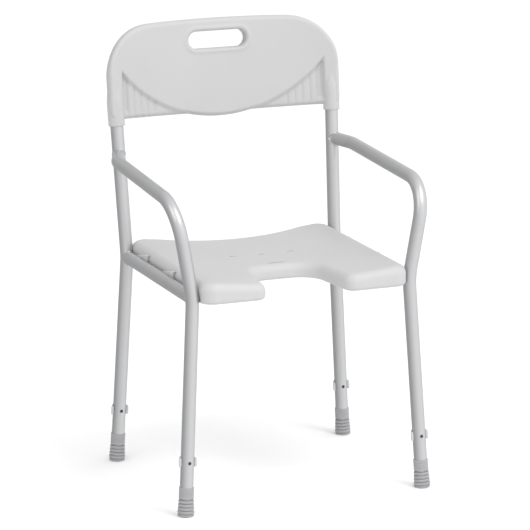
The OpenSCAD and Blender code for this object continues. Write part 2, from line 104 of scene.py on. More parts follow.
def turned_over(faces, over):
    """The same faces, with their corners in the other order where over is true."""
    return [list(f)[::-1] for f in faces] if over else faces


def circle_angles(count):
    return np.linspace(0, 2 * np.pi, count, endpoint=False)


def unit(v):
    """v with length 1. An array of vectors is done row by row."""
    return v / np.linalg.norm(v, axis=-1, keepdims=True)


def make_mesh(name, points, faces, crease=35.0, along=None):
    """An object from points in millimetres. Edges sharper than crease degrees stay crisp."""
    mesh = bpy.data.meshes.new(name)
    mesh.from_pydata((np.asarray(points) * MM).tolist(), [], [list(map(int, f)) for f in faces])
    if along is not None:
        place = mesh.attributes.new("along", "FLOAT_VECTOR", "POINT")
        place.data.foreach_set("vector", np.asarray(along, np.float32).ravel())
    mesh.validate()
    mesh.shade_smooth()
    mesh.set_sharp_from_angle(angle=np.radians(crease))
    piece = bpy.data.objects.new(name, mesh)
    bpy.context.scene.collection.objects.link(piece)
    return piece


def carve(piece, cutter, crease=35.0):
    """Takes the cutter's shape out of the piece, and keeps the result as plain mesh."""
    cut = piece.modifiers.new("cut", "BOOLEAN")
    cut.operation, cut.solver, cut.object = "DIFFERENCE", "EXACT", cutter
    bpy.context.view_layer.update()
    evaluated = piece.evaluated_get(bpy.context.evaluated_depsgraph_get())
    done = bpy.data.meshes.new_from_object(evaluated)
    piece.modifiers.clear()
    piece.data = done
    done.set_sharp_from_angle(angle=np.radians(crease))
    bpy.data.objects.remove(cutter)


def stand_for(piece, node, body, finish):
    """The piece replaces a node of the frame, moves with its body and takes a finish."""
    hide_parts(node)
    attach(piece, body)
    piece.data.materials.clear()
    piece.data.materials.append(finish)
    print(f"{piece.name}: {len(piece.data.polygons)} faces")


def add_piece(piece, body, finish):
    """A piece that replaces no node: it moves with a body and takes a finish."""
    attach(piece, body)
    piece.data.materials.append(finish)


print("mesh helpers ready")

# %% [markdown]
# ## Shader maths as ordinary expressions
# A material is a graph of nodes. Written out by hand it is long and hard to read, so one small
# class wraps a socket: adding or multiplying two of them adds the Math node for it. Every
# other node comes from one method, which takes the node's settings and its inputs. A finish is
# such a graph inside a material.

# %% A socket that can be added and multiplied
class Sock:
    """A shader socket. Arithmetic on it builds Math nodes."""

    def __init__(self, graph, out):
        self.graph, self.out = graph, out

    def sibling(self, name):
        """Another output of the same node."""
        return Sock(self.graph, self.out.node.outputs[name])

    def _math(self, operation, a, b):
        return self.graph.add("ShaderNodeMath", {"operation": operation}, {0: a, 1: b})

    def __add__(self, other): return self._math("ADD", self, other)
    def __radd__(self, other): return self._math("ADD", other, self)
    def __sub__(self, other): return self._math("SUBTRACT", self, other)
    def __rsub__(self, other): return self._math("SUBTRACT", other, self)
    def __mul__(self, other): return self._math("MULTIPLY", self, other)
    def __rmul__(self, other): return self._math("MULTIPLY", other, self)


class Graph:
    """An empty node graph of a material or a world. add() makes a node and gives one output."""

    def __init__(self, owner):
        owner.use_nodes = True
        self.tree = owner.node_tree
        self.tree.nodes.clear()

    def add(self, kind, settings=None, inputs=None, output=0):
        node = self.tree.nodes.new(kind)
        for key, value in (settings or {}).items():
            setattr(node, key, value)
        for key, value in (inputs or {}).items():
            if isinstance(value, Sock):
                self.tree.links.new(value.out, node.inputs[key])
            else:
                node.inputs[key].default_value = value
        return Sock(self, node.outputs[output]) if node.outputs else None


print("shader arithmetic ready")

# %% A finish: patterns, and the surface they end in
class Finish(Graph):
    """One material. surface() makes its Principled shader and gives the material."""

    def __init__(self, name):
        self.material = bpy.data.materials.new(name)
        super().__init__(self.material)

    def place(self):
        return self.add("ShaderNodeTexCoord", output="Object")

    def along(self):
        return self.add("ShaderNodeAttribute", {"attribute_name": "along"}, output="Vector")

    def stretched(self, where, scale):
        return self.add("ShaderNodeMapping", None, {"Vector": where, "Scale": scale})

    def noise(self, where, scale, detail):
        return self.add("ShaderNodeTexNoise", None, {"Vector": where, "Scale": scale, "Detail": detail})

    def blend(self, amount, low, high):
        """A colour between low and high."""
        return self.add("ShaderNodeMix", {"data_type": "RGBA"},
                        {"Factor": amount, 6: (*low, 1), 7: (*high, 1)}, output=2)

    def bump(self, height, depth_mm, strength):
        return self.add("ShaderNodeBump", None,
                        {"Height": height, "Strength": strength, "Distance": depth_mm * MM})

    def surface(self, **sockets):
        shader = self.add("ShaderNodeBsdfPrincipled", None,
                          {key.replace("_", " "): value for key, value in sockets.items()})
        self.add("ShaderNodeOutputMaterial", None, {"Surface": shader})
        return self.material


print("shader helpers ready")

# %% [markdown]
# ## Finish: moulded plastic
# The seat and the back are moulded in a pale, slightly rubbery plastic with a fine grain, so
# that a wet body doesn't slide. Two noises make it: a fine one raises the grain, and a broad
# one shifts the colour and the gloss a little, as the mould's own polish does. The clips and
# the cuffs are the same kind of plastic, smoother and in other greys.

# %% Plastic for the seat, back, clips and cuffs
def moulded_plastic(name, low, high, grain_mm, gloss):
    f = Finish(name)
    where = f.place()
    broad = f.noise(where, 9.0, 2.0)
    grain = f.noise(where, 900.0, 2.0)
    return f.surface(Base_Color=f.blend(broad, low, high),
                     Roughness=gloss + 0.10 * broad + 0.06 * grain,
                     Specular_IOR_Level=0.42,
                     Normal=f.bump(grain, grain_mm, 0.5))


def grey(level, blue=0.0):
    return (level, level, level + blue)


seat_plastic = moulded_plastic("seat_plastic", (0.495, 0.488, 0.491), (0.535, 0.528, 0.532), 0.06, 0.42)
back_plastic = moulded_plastic("back_plastic", grey(0.46), grey(0.495), 0.05, 0.44)
clip_plastic = moulded_plastic("clip_plastic", grey(0.53), grey(0.59), 0.02, 0.38)
cuff_plastic = moulded_plastic("cuff_plastic", grey(0.32, 0.01), grey(0.37, 0.01), 0.03, 0.42)
print("plastics:", seat_plastic.name, back_plastic.name, clip_plastic.name, cuff_plastic.name)

# %% [markdown]
# ## Finish: satin anodised tube
# Anodising leaves aluminium pale, even and soft in its reflections, with faint draw marks that
# run along the tube. The marks must follow each bend, so they read a place along the tube that
# the tube's own mesh carries, not the place in the room. The place is a point on a straight
# cylinder, which is why the marks have no seam.

# %% Aluminium for the bent tubes and for the straight extensions
def anodised(name, follow_tube):
    f = Finish(name)
    where = f.along() if follow_tube else f.place()
    marks = f.noise(f.stretched(where, (1.0, 1.0, 0.03)), 1400.0, 3.0)
    cloud = f.noise(where, 14.0, 3.0)
    tone = 0.6 * cloud + 0.4 * marks
    return f.surface(Base_Color=f.blend(tone, (0.48, 0.483, 0.49), (0.56, 0.563, 0.57)),
                     Metallic=0.85,
                     Roughness=0.27 + 0.10 * marks + 0.05 * cloud,
                     Normal=f.bump(marks, 0.02, 0.35))


tube_finish = anodised("anodised_tube", True)
extension_finish = anodised("anodised_extension", False)
print("metals:", tube_finish.name, extension_finish.name)

# %% [markdown]
# ## Finish: weld, rubber and steel
# A weld bead is bright metal that froze in small ripples. The rubber of the tips is grey and
# dull, with a little scuffing. Pins, washers and screws get a nearly black steel colour, which is
# painted shade: it makes a pin's nose show as a dark spot in its hole.

# %% Small finishes
def weld_metal():
    f = Finish("weld_metal")
    ripple = f.noise(f.place(), 420.0, 2.0)
    return f.surface(Base_Color=f.blend(ripple, (0.50, 0.505, 0.51), (0.58, 0.585, 0.59)), Metallic=0.85,
                     Roughness=0.36 + 0.12 * ripple, Normal=f.bump(ripple, 0.25, 0.4))


def tip_rubber():
    f = Finish("tip_rubber")
    where = f.place()
    scuff, grain = f.noise(where, 60.0, 4.0), f.noise(where, 1200.0, 2.0)
    return f.surface(Base_Color=f.blend(scuff, grey(0.30, 0.01), grey(0.38, 0.01)),
                     Roughness=0.58 + 0.16 * scuff, Normal=f.bump(grain, 0.05, 0.4))


def steel_painted_shade():
    f = Finish("steel_painted_shade")
    turned = f.noise(f.stretched(f.place(), (1.0, 1.0, 6.0)), 500.0, 2.0)
    # The nearly black base colour is painted shade for the pin's nose in its hole; the washers and screws
    # share it.
    return f.surface(Base_Color=f.blend(turned, grey(0.06, 0.003), grey(0.10, 0.005)), Metallic=0.8,
                     Roughness=0.32 + 0.15 * turned)


weld_finish, rubber_finish, steel_shade_finish = weld_metal(), tip_rubber(), steel_painted_shade()
print("small finishes:", weld_finish.name, rubber_finish.name, steel_shade_finish.name)

# %% [markdown]
# ## Bent tubes
# A tube bender leaves straights joined by arcs of one radius. The path is built the same way:
# each corner of a polyline is swapped for the arc that touches both its sides. A circle carried
# along the path makes the outside, a smaller one the bore, and the two join at the ends, so the
# tube is a real hollow tube.

# %% Rounded paths
def reach_along(path):
    """How far along the path each of its points is."""
    return np.concatenate([[0], np.cumsum(np.linalg.norm(np.diff(path, axis=0), axis=1))])


def rounded_path(corners, radii, step):
    """The polyline through corners with arcs of the given radii, as points about step apart.

    An arc of radius R at a turn of t takes R tan(t/2) off both sides; its points are
    centre + R (u sin a - n cos a) for a from 0 to t, where u runs in and n points inwards."""
    corners = np.asarray(corners, float)
    pieces = [corners[:1]]
    for before, here, after, radius in zip(corners[:-2], corners[1:-1], corners[2:], radii):
        u, v = unit(here - before), unit(after - here)
        turn = np.arccos(np.clip(u @ v, -1, 1))
        n = (v - u * np.cos(turn)) / np.sin(turn)
        start = here - u * radius * np.tan(turn / 2)
        a = np.linspace(0, turn, max(5, int(turn * radius / step * 2)))[:, None]
        pieces.append(start + radius * (n + u * np.sin(a) - n * np.cos(a)))
    pieces.append(corners[-1:])
    path = np.concatenate(pieces)
    reach = reach_along(path)
    at = np.linspace(0, reach[-1], int(reach[-1] / step) + 2)
    return np.stack([np.interp(at, reach, path[:, k]) for k in range(path.shape[1])], 1)


def rings_along(path, radius, turns):
    """Circles of the given radius square to the path: point + r (side cos a + up sin a)."""
    run = unit(np.gradient(path, axis=0))
    across = np.array([1.0, 0.0, 0.0])
    side = unit(across - run * (run @ across)[:, None])
    up = np.cross(run, side)
    a = circle_angles(turns)[:, None]
    return path[:, None] + radius * (side[:, None] * np.cos(a) + up[:, None] * np.sin(a))


def tube(name, path, turns=48):
    """A hollow tube: outer rings forward, bore rings back, closed at both ends."""
    points = np.concatenate([rings_along(path, TUBE_R, turns), rings_along(path, BORE_R, turns)[::-1]])
    reach = reach_along(path)
    a = circle_angles(turns)
    flat = np.stack([np.cos(a) * TUBE_R * MM, np.sin(a) * TUBE_R * MM], 1)
    length = np.concatenate([reach, reach[::-1]]) * MM
    along = np.concatenate([np.broadcast_to(flat, (len(points), turns, 2)),
                            np.broadcast_to(length[:, None, None], (len(points), turns, 1))], -1)
    return make_mesh(name, points.reshape(-1, 3), grid_faces(len(points), turns, wrap_rows=True),
                     along=along.reshape(-1, 3))


def mirrored(points, sign):
    """The same points on the chair's other side when sign is -1."""
    return np.asarray(points, float) * np.array([sign, 1.0, 1.0])


print("a test bend has", len(rounded_path([[0, 0, 0], [0, 0, 100], [0, 80, 100]], [40], 3)), "points")

# %% Leg lines and the pin hole
PIN_H, PIN_HOLE_R = 103.0, 3.3


def leg_frame(foot, knee):
    """Axes of a leg: x across, y to the rear, z up the leg."""
    up = unit(knee - foot)
    pitch, roll = -np.arcsin(up[1]), np.arctan2(up[0], up[2])
    rear = np.array([np.sin(pitch) * np.sin(roll), np.cos(pitch), np.sin(pitch) * np.cos(roll)])
    return np.stack([np.cross(rear, up), rear, up])


def on_leg(local, foot, knee, sign):
    """Points given in a leg's own axes, put on the leg of the side named."""
    return mirrored(foot + np.asarray(local, float) @ leg_frame(foot, knee), sign)


def hole_cutter(foot, knee, sign, turns=32):
    """A plain bar through both walls of a leg, closed at its ends, to carve the pin's hole."""
    a = circle_angles(turns)
    ring = np.stack([PIN_HOLE_R * np.cos(a), np.zeros(turns), PIN_H + PIN_HOLE_R * np.sin(a)], 1)
    past_wall = np.array([0, 16, 0])
    ends = np.concatenate([ring - past_wall, ring + past_wall])
    faces = turned_over(capped_faces(2, turns), sign > 0)
    return make_mesh("hole_cutter", on_leg(ends, foot, knee, sign), faces)


print("leg axes at the front:", leg_frame(FRONT_FOOT, FRONT_KNEE).round(3).tolist())

# %% Paths of the bent tubes and the rails
LEG_START, POST_LENGTH = 36.0, 330.0
KNEE_R, ARM_FRONT_R, ARM_REAR_R = 175.0, 73.0, 45.0
WELD_REACH = 9.5


def leg_start(foot, knee):
    return foot + unit(knee - foot) * LEG_START


arm_end = ARM_JOINT - unit(ARM_JOINT - ARM_BEND) * WELD_REACH
arm_path = rounded_path([leg_start(FRONT_FOOT, FRONT_KNEE), FRONT_KNEE, ARM_CORNER, ARM_BEND, arm_end],
                        [KNEE_R, ARM_FRONT_R, ARM_REAR_R], 3.0)
post_path = rounded_path([leg_start(REAR_FOOT, REAR_KNEE), REAR_KNEE, REAR_KNEE + POST_DIR * POST_LENGTH],
                         [KNEE_R], 4.0)
rail_run = np.array([0.0, 1.0, 0.0])
rail_path = np.linspace(FRONT_KNEE + rail_run * WELD_REACH, REAR_KNEE - rail_run * WELD_REACH, 40)
print("arm path:", len(arm_path), "points; post path:", len(post_path), "points")

# %% The four bent tubes and the two rails
for side, sign in SIDES:
    arm = tube(f"arm_tube_{side}", mirrored(arm_path, sign))
    carve(arm, hole_cutter(FRONT_FOOT, FRONT_KNEE, sign))
    stand_for(arm, f"front_leg_arm_{side}", "frame", tube_finish)
    post = tube(f"post_tube_{side}", mirrored(post_path, sign))
    carve(post, hole_cutter(REAR_FOOT, REAR_KNEE, sign))
    stand_for(post, f"rear_post_{side}", "frame", tube_finish)
    rail = tube(f"rail_tube_{side}", mirrored(rail_path, sign))
    stand_for(rail, f"side_rail_{side}", "frame", tube_finish)

# %% [markdown]
# ## Weld beads
# Where a tube meets another, the joint runs round the incoming tube on a saddle curve. The
# curve is where the incoming tube's straight lines meet the other tube's surface, which is a
# quadratic for each line. A bead is a small circle carried round that curve, swelling and
# shrinking a little in ripples.

# %% The saddle curve and a bead round it
BEAD_R, BEAD_LIFT = 1.2, 0.2


def saddle_curve(start, run, axis_point, axis, count=96):
    """Where lines on a tube from start along run first meet a tube of the same radius about an axis.

    Each line is q + s run. Its distance to the axis is the tube radius where
    |(q - p + s run) x axis| = R, a quadratic in s, and the nearer root is taken."""
    run, axis = unit(run), unit(axis)
    side = unit(np.cross(run, axis))
    up = np.cross(run, side)
    a = circle_angles(count)[:, None]
    q = start + TUBE_R * (side * np.cos(a) + up * np.sin(a))
    across, slope = np.cross(q - axis_point, axis), np.cross(run, axis)
    b, c = across @ slope, (across ** 2).sum(1) - (TUBE_R + BEAD_LIFT) ** 2
    s = (-b - np.sqrt(np.clip(b * b - (slope @ slope) * c, 0, None))) / (slope @ slope)
    return q + s[:, None] * run


def weld_bead(curve, turns=16):
    """A rippled ring: circles of radius r (1 + small waves) round a closed curve."""
    run = unit(np.roll(curve, -1, 0) - np.roll(curve, 1, 0))
    out = curve - curve.mean(0)
    out = unit(out - run * (out * run).sum(1, keepdims=True))
    up = np.cross(run, out)
    t = circle_angles(len(curve))
    swell = BEAD_R * (1 + 0.10 * np.sin(24 * t) + 0.05 * np.sin(7 * t + 1))[:, None, None]
    a = circle_angles(turns)[:, None]
    points = curve[:, None] + swell * (out[:, None] * np.cos(a) + up[:, None] * np.sin(a))
    return points.reshape(-1, 3), grid_faces(len(curve), turns, wrap_rows=True)


arm_saddle = saddle_curve(ARM_BEND, ARM_JOINT - ARM_BEND, REAR_KNEE, POST_DIR)
print("a bead has", len(weld_bead(arm_saddle)[0]), "points")

# %% Beads at the arm joints and the rail ends
# Each row: name, a point on the incoming tube's axis, its run, and a point and the direction of
# the other tube's axis. At a knee that axis is a bend, so a chord close to it stands in for it.
ALONG_RAIL = rail_run * 60
REAR_CHORD_OFF, FRONT_CHORD_OFF = [0.3, 0.55, 0], [1.2, 0, 0]
WELDS = (("arm", ARM_BEND, ARM_JOINT - ARM_BEND, REAR_KNEE, POST_DIR),
         ("rail_rear", REAR_KNEE - ALONG_RAIL, rail_run, REAR_KNEE + REAR_CHORD_OFF, POST_DIR),
         ("rail_front", FRONT_KNEE + ALONG_RAIL, -rail_run, FRONT_KNEE + FRONT_CHORD_OFF,
          ARM_CORNER - FRONT_FOOT))
for side, sign in SIDES:
    for name, start, run, point, axis in WELDS:
        points, faces = weld_bead(mirrored(saddle_curve(start, run, point, axis), sign))
        add_piece(make_mesh(f"weld_{name}_{side}", points, faces), "frame", weld_finish)
    print("beads on the", side, "side:", len(WELDS))

# %% [markdown]
# ## Moulded plates
# The seat and the back are the same kind of thing: a plate with a rounded rim, seen from one
# side. Such a plate can be sculpted by hand, but its rim is hard to keep even. Here its outline
# is drawn once, and rings step inwards from it while the height climbs a quarter circle. The
# flat middle is filled with an even spread of points joined into triangles, and every point's
# height comes from one function, so the dish, the bow and the raised details are all formulas.

# %% Outlines, rings and a filled plate
def closed_outline(corners, radii, step):
    """A closed outline, anticlockwise, with each corner rounded by its radius."""
    corners = np.asarray(corners, float)
    middle = (corners[-1] + corners[0]) / 2
    loop = np.concatenate([[middle], corners, [middle]])
    return rounded_path(loop, radii, step)[:-1]


def inward(outline):
    """The unit normal at each point, to the left of an anticlockwise run: into the plate."""
    run = unit(np.roll(outline, -1, 0) - np.roll(outline, 1, 0))
    return np.stack([-run[:, 1], run[:, 0]], 1)


def nearest(points, outline):
    """Distance from each point to a closed outline, and whether the point is inside it."""
    a, b = outline, np.roll(outline, -1, 0)
    far, inside = np.empty(len(points)), np.empty(len(points), bool)
    for part in np.array_split(np.arange(len(points)), max(1, len(points) // 2000)):
        p = points[part][:, None]
        d = b - a
        t = np.clip(((p - a) * d).sum(-1) / (d * d).sum(-1), 0, 1)
        far[part] = np.linalg.norm(p - a - t[..., None] * d, axis=-1).min(1)
        crosses = (a[:, 1] > p[..., 1]) != (b[:, 1] > p[..., 1])
        at = a[:, 0] + (p[..., 1] - a[:, 1]) * d[:, 0] / np.where(d[:, 1] == 0, 1e-9, d[:, 1])
        inside[part] = (crosses & (p[..., 0] < at)).sum(1) % 2 == 1
    return far, inside


def fill_flat(loops, pitch):
    """Triangles between an outer loop and any hole loops, with a grid of points inside.

    Gives the points, loops first, and the triangles, all anticlockwise."""
    outer, holes = loops[0], loops[1:]
    low, high = outer.min(0), outer.max(0)
    gx, gy = np.meshgrid(np.arange(low[0], high[0], pitch), np.arange(low[1], high[1], pitch))
    gx[1::2] += pitch / 2
    grid = np.stack([gx.ravel(), gy.ravel()], 1)
    far, keep = nearest(grid, outer)
    keep &= far > 0.6 * pitch
    for hole in holes:
        far, within = nearest(grid, hole)
        keep &= ~within & (far > 0.6 * pitch)
    points = np.concatenate([*loops, grid[keep]])
    edges, first = [], 0
    for loop in loops:
        n = np.arange(len(loop))
        edges.append(np.stack([n, (n + 1) % len(loop)], 1) + first)
        first += len(loop)
    done = delaunay_2d_cdt([Vector(p) for p in points.tolist()],
                           [tuple(e) for e in np.concatenate(edges).tolist()], [], 0, 1e-6)
    source = np.array([o[0] if o else 0 for o in done[3]])
    tri = source[np.array(done[2])]
    middle = points[tri].mean(1)
    keep = nearest(middle, outer)[1]
    for hole in holes:
        keep &= ~nearest(middle, hole)[1]
    tri = tri[keep]
    a, b, c = points[tri[:, 0]], points[tri[:, 1]], points[tri[:, 2]]
    turn = (b - a)[:, 0] * (c - a)[:, 1] - (b - a)[:, 1] * (c - a)[:, 0]
    tri[turn < 0] = tri[turn < 0][:, ::-1]
    return points, tri


def plate(outline, holes, face, under, rim, low_rim, hole_rim, pitch, low_pitch, steps=9):
    """A closed plate between two height functions, with quarter-round rims.

    At an angle a round a rim of radius r, the inset is r (1 - cos a) and the height is the
    surface's own less r (1 - sin a). Gives points (u, v, height) and faces."""
    points, faces, total = [], [], 0

    def rim_rings(loop, r_face, r_under):
        a = np.linspace(0, np.pi / 2, steps)
        insets = np.concatenate([r_under * (1 - np.cos(a[::-1])), r_face * (1 - np.cos(a))])
        drops = np.concatenate([r_under * (1 - np.sin(a[::-1])), -r_face * (1 - np.sin(a))])
        rows = loop + insets[:, None, None] * inward(loop)
        flat = rows.reshape(-1, 2)
        base = np.where(np.arange(len(rows)) < steps, 0, 1)[:, None] * np.ones(len(loop))
        height = np.where(base.ravel() > 0, face(flat), under(flat)) + np.repeat(drops, len(loop))
        return rows, np.column_stack([flat, height])

    tops, lows = [], []
    for number, loop in enumerate([outline, *holes]):
        r = (rim, low_rim) if number == 0 else (hole_rim, hole_rim)
        rows, ring_points = rim_rings(loop, *r)
        points.append(ring_points)
        faces += (grid_faces(len(rows), len(loop)) + total).tolist()
        lows.append((rows[0], np.arange(len(loop)) + total))
        tops.append((rows[-1], np.arange(len(loop)) + total + (len(rows) - 1) * len(loop)))
        total += len(ring_points)
    for loops, height, step, flip in ((tops, face, pitch, False), (lows, under, low_pitch, True)):
        flat, tri = fill_flat([loop for loop, _ in loops], step)
        shared = np.concatenate([number for _, number in loops])
        new = flat[len(shared):]
        number = np.concatenate([shared, np.arange(len(new)) + total])
        points.append(np.column_stack([new, height(new)]))
        total += len(new)
        tri = number[tri]
        faces += (tri[:, ::-1] if flip else tri).tolist()
    return np.concatenate(points), faces


print("plate helpers ready")

# %% [markdown]
# ## The seat
# The seat is a broad plate with a U cut into its front, two round lobes beside it and a scooped
# rear edge that follows the back. It is dished from side to side like a shallow trough. Its
# sides are hollowed along the rails, so that the rails can pass.

# %% Seat outline
SEAT_OVERHANG, SEAT_DEPTH, SEAT_HALF = 10.0, 414.0, 210.3
CUT_HALF, CUT_DEPTH, CUT_FLARE, SCOOP_HALF, SCOOP = 64.0, 140.0, 18.0, 150.0, 24.0
seat_front = front_y - SEAT_OVERHANG
seat_rear = seat_front + SEAT_DEPTH
scoop_r = (SCOOP_HALF ** 2 + SCOOP ** 2) / (2 * SCOOP)
scoop_angle = np.linspace(1, -1, 25) * np.arcsin(SCOOP_HALF / scoop_r)
scoop = np.stack([scoop_r * np.sin(scoop_angle),
                  seat_rear - SCOOP + scoop_r * (1 - np.cos(scoop_angle))], 1)
right_corners = [[CUT_HALF, seat_front + CUT_DEPTH], [CUT_HALF + CUT_FLARE, seat_front],
                 [SEAT_HALF, seat_front], [SEAT_HALF, seat_rear]]
left_corners = [[-x, y] for x, y in right_corners[::-1]]
seat_corners = np.concatenate([right_corners, scoop, left_corners])
side_radii = [44, 21, 29, 29]
seat_radii = side_radii + [50] + [300] * (len(scoop) - 2) + [50] + side_radii[::-1]
seat_outline = closed_outline(seat_corners, seat_radii, 3.0)
print("seat outline:", len(seat_outline), "points")

# %% Seat surface
DISH_HALF, DISH_DEPTH, RAIL_ROOM_R = 180.0, 10.0, 13.0
dish_r = (DISH_HALF ** 2 + DISH_DEPTH ** 2) / (2 * DISH_DEPTH)


def seat_face(p):
    """Top of the seat: a circular trough along y, level beyond the dish."""
    x = np.clip(np.abs(p[:, 0]), 0, DISH_HALF)
    depth = DISH_DEPTH - (dish_r - np.sqrt(dish_r ** 2 - x ** 2))
    return SEAT_TOP - np.clip(depth, 0, None)


def seat_under(p):
    return np.full(len(p), SEAT_BOTTOM)


seat_points, seat_faces = plate(seat_outline, [], seat_face, seat_under,
                                rim=16.0, low_rim=7.0, hole_rim=4.0, pitch=4.0, low_pitch=9.0)
rail_side = RAIL_X - np.sqrt(np.clip(RAIL_ROOM_R ** 2 - (seat_points[:, 2] - RAIL_H) ** 2, 0, None))
seat_points[:, 0] = np.sign(seat_points[:, 0]) * np.minimum(np.abs(seat_points[:, 0]), rail_side)
print("seat:", len(seat_points), "points")

# %% Shapes of the rail tabs and of the slots
TAB_X, TAB_HALF, TAB_LENGTH = 207.5, 8.0, 50.0
TAB_LOW, TAB_TOP, TAB_FALL = 6.0, 22.5, 10.0


def squared(wave, power):
    """A cosine or sine pushed towards -1 and 1, which makes a circle into a rounded box."""
    return np.sign(wave) * np.abs(wave) ** power


def ramp_tab(sign, front):
    """A lip from the seat's side over the rail. Its section is a rounded box whose top falls
    towards the rear, as t ^ 1.25 for t from 0 to 1."""
    t, a = np.linspace(0, 1, 24), circle_angles(32)
    top = RAIL_H + TAB_TOP - TAB_FALL * t ** 1.25
    low = np.full(len(t), RAIL_H + TAB_LOW)
    end = np.where((t == 0) | (t == 1), 0.9, 1.0)[:, None]
    x = TAB_X + TAB_HALF * squared(np.cos(a), 0.35) * end
    z = (top + low)[:, None] / 2 + (top - low)[:, None] / 2 * squared(np.sin(a), 0.35) * end
    y = np.broadcast_to((front + TAB_LENGTH * t)[:, None], x.shape)
    points = mirrored(np.stack([x, y, z], -1).reshape(-1, 3), sign)
    return points, turned_over(capped_faces(len(t), len(a)), sign > 0)


def box_cutter(low, high):
    x, y, z = np.meshgrid(*zip(low, high), indexing="ij")
    points = np.stack([x.ravel(), y.ravel(), z.ravel()], 1)
    faces = [[0, 1, 3, 2], [4, 6, 7, 5], [0, 4, 5, 1], [2, 3, 7, 6], [0, 2, 6, 4], [1, 5, 7, 3]]
    return make_mesh("cutter", points, faces)


def slot_cutter(x, y, length, width, low, high, end_points=12):
    """A bar with round ends, standing upright."""
    a = np.linspace(-np.pi / 2, np.pi / 2, end_points)
    end = np.stack([np.cos(a), np.sin(a)], 1) * width / 2
    half = np.array([(length - width) / 2, 0])
    ring = np.concatenate([end + half, -end - half]) + [x, y]
    points = np.concatenate([np.column_stack([ring, np.full(len(ring), z)]) for z in (low, high)])
    return make_mesh("cutter", points, capped_faces(2, len(ring)))


print("tab and slot shapes ready")

# %% The seat with its relief slots, drain slots and rail tabs
# A relief slot ahead of each tab lets it flex. The drain slots are one long and three short.
TAB_FRONTS = (seat_front + 154.0, seat_front + 296.0)
RELIEF_X, RELIEF_Y, RELIEF_Z = (188.0, 230.0), (-6.5, -0.2), (7.0, TAB_TOP)
DRAIN_W = 3.2
DRAINS = ((0, -46, 34), (-60, 28, 14), (0, 28, 14), (60, 28, 14))
seat = make_mesh("seat_moulding", seat_points, seat_faces)
for side, sign in SIDES:
    x0, x1 = sorted(sign * x for x in RELIEF_X)
    for front in TAB_FRONTS:
        carve(seat, box_cutter([x0, front + RELIEF_Y[0], RAIL_H + RELIEF_Z[0]],
                               [x1, front + RELIEF_Y[1], RAIL_H + RELIEF_Z[1]]))
seat_middle = (seat_front + seat_rear) / 2
for x, y, length in DRAINS:
    carve(seat, slot_cutter(x, seat_middle + y, length, DRAIN_W, SEAT_BOTTOM - 5, SEAT_TOP + 5))
tabs = [ramp_tab(sign, front) for side, sign in SIDES for front in TAB_FRONTS]
tab_points = np.concatenate([p for p, _ in tabs])
tab_faces = [[i + n * len(tabs[0][0]) for i in f] for n, (_, faces) in enumerate(tabs) for f in faces]
add_piece(make_mesh("seat_rail_tabs", tab_points, tab_faces, crease=50),
          "frame", seat_plastic)
stand_for(seat, "seat", "frame", seat_plastic)

# %% [markdown]
# ## The backrest
# The back is drawn in its own leaning plane: x across, s up the slope from the rails. It bows
# away from the sitter, and its big smooth panel ends below in one large arc. Outside the arc
# the corners are set back and fluted. A round-ended slot near the top, with a soft lip, takes a
# hand. A sleeve on each side slides over a post.

# %% Backrest outline
BACK_LOW, BACK_TOP, BACK_HALF, BACK_CORNER_R = 268.0, 452.0, 243.0, 100
SMILE_R, SMILE_LOW, SMILE_HALF = 280.0, 258.8, 66.4
CROWN, CROWN_HALF = 9.0, 150
smile_x = np.linspace(-SMILE_HALF, SMILE_HALF, 19)
smile = np.stack([smile_x, SMILE_LOW + SMILE_R - np.sqrt(SMILE_R ** 2 - smile_x ** 2)], 1)
crown_r = (BACK_HALF ** 2 + CROWN ** 2) / (2 * CROWN)
crown_x = np.linspace(CROWN_HALF, -CROWN_HALF, 25)
crown = np.stack([crown_x, BACK_TOP - crown_r + np.sqrt(crown_r ** 2 - crown_x ** 2)], 1)
shoulder = BACK_TOP - CROWN * 0.85
back_corners = np.concatenate([smile, [[BACK_HALF - 2, BACK_LOW], [BACK_HALF, shoulder - 2]], crown[1:-1],
                               [[-BACK_HALF, shoulder - 2], [-BACK_HALF + 2, BACK_LOW]]])
smile_radii = [20] + [200] * (len(smile) - 2) + [20]
back_radii = smile_radii + [13, BACK_CORNER_R] + [250] * (len(crown) - 2) + [BACK_CORNER_R, 13]
back_outline = closed_outline(back_corners, back_radii, 3.0)
print("back outline:", len(back_outline), "points")

# %% Outline of the hand slot
SLOT_S, SLOT_W, SLOT_H = 410.0, 122.0, 34.0
arc = np.linspace(-np.pi / 2, np.pi / 2, 24)
slot_end = np.stack([np.cos(arc), np.sin(arc)], 1) * SLOT_H / 2
slot_half = np.array([(SLOT_W - SLOT_H) / 2, 0])
right_end, left_end = slot_end + slot_half + [0, SLOT_S], -slot_end - slot_half + [0, SLOT_S]
straight = np.linspace(0, 1, 20)[1:-1, None]
slot_loop = np.concatenate([right_end, right_end[-1] + straight * (left_end[0] - right_end[-1]),
                            left_end, left_end[-1] + straight * (right_end[0] - left_end[-1])])[::-1]
print("slot outline:", len(slot_loop), "points")

# %% Heights of the back's two faces
POST_X = 226.7
PANEL, RECESS, BACK_REAR, LIP = 13.0, 7.0, -12.5, 1.6
FLUTES_FROM, FLUTES_TO, FLUTE_PITCH, FLUTE_DEPTH = 132, 204, 15.0, 2.0
STRIP_FROM, STRIP_LOW, STRIP_DEPTH, EDGE_FROM = 199, 276, 4.0, 208.0
BOW, BOW_POWER = 34.0, 2.6


def smooth(t):
    t = np.clip(t, 0, 1)
    return t * t * (3 - 2 * t)


def bow(x):
    """How far the middle surface stands back from the posts: bow (1 - |x/post|^power)."""
    return BOW * (1 - np.clip(np.abs(x) / POST_X, 0, 1.04) ** BOW_POWER)


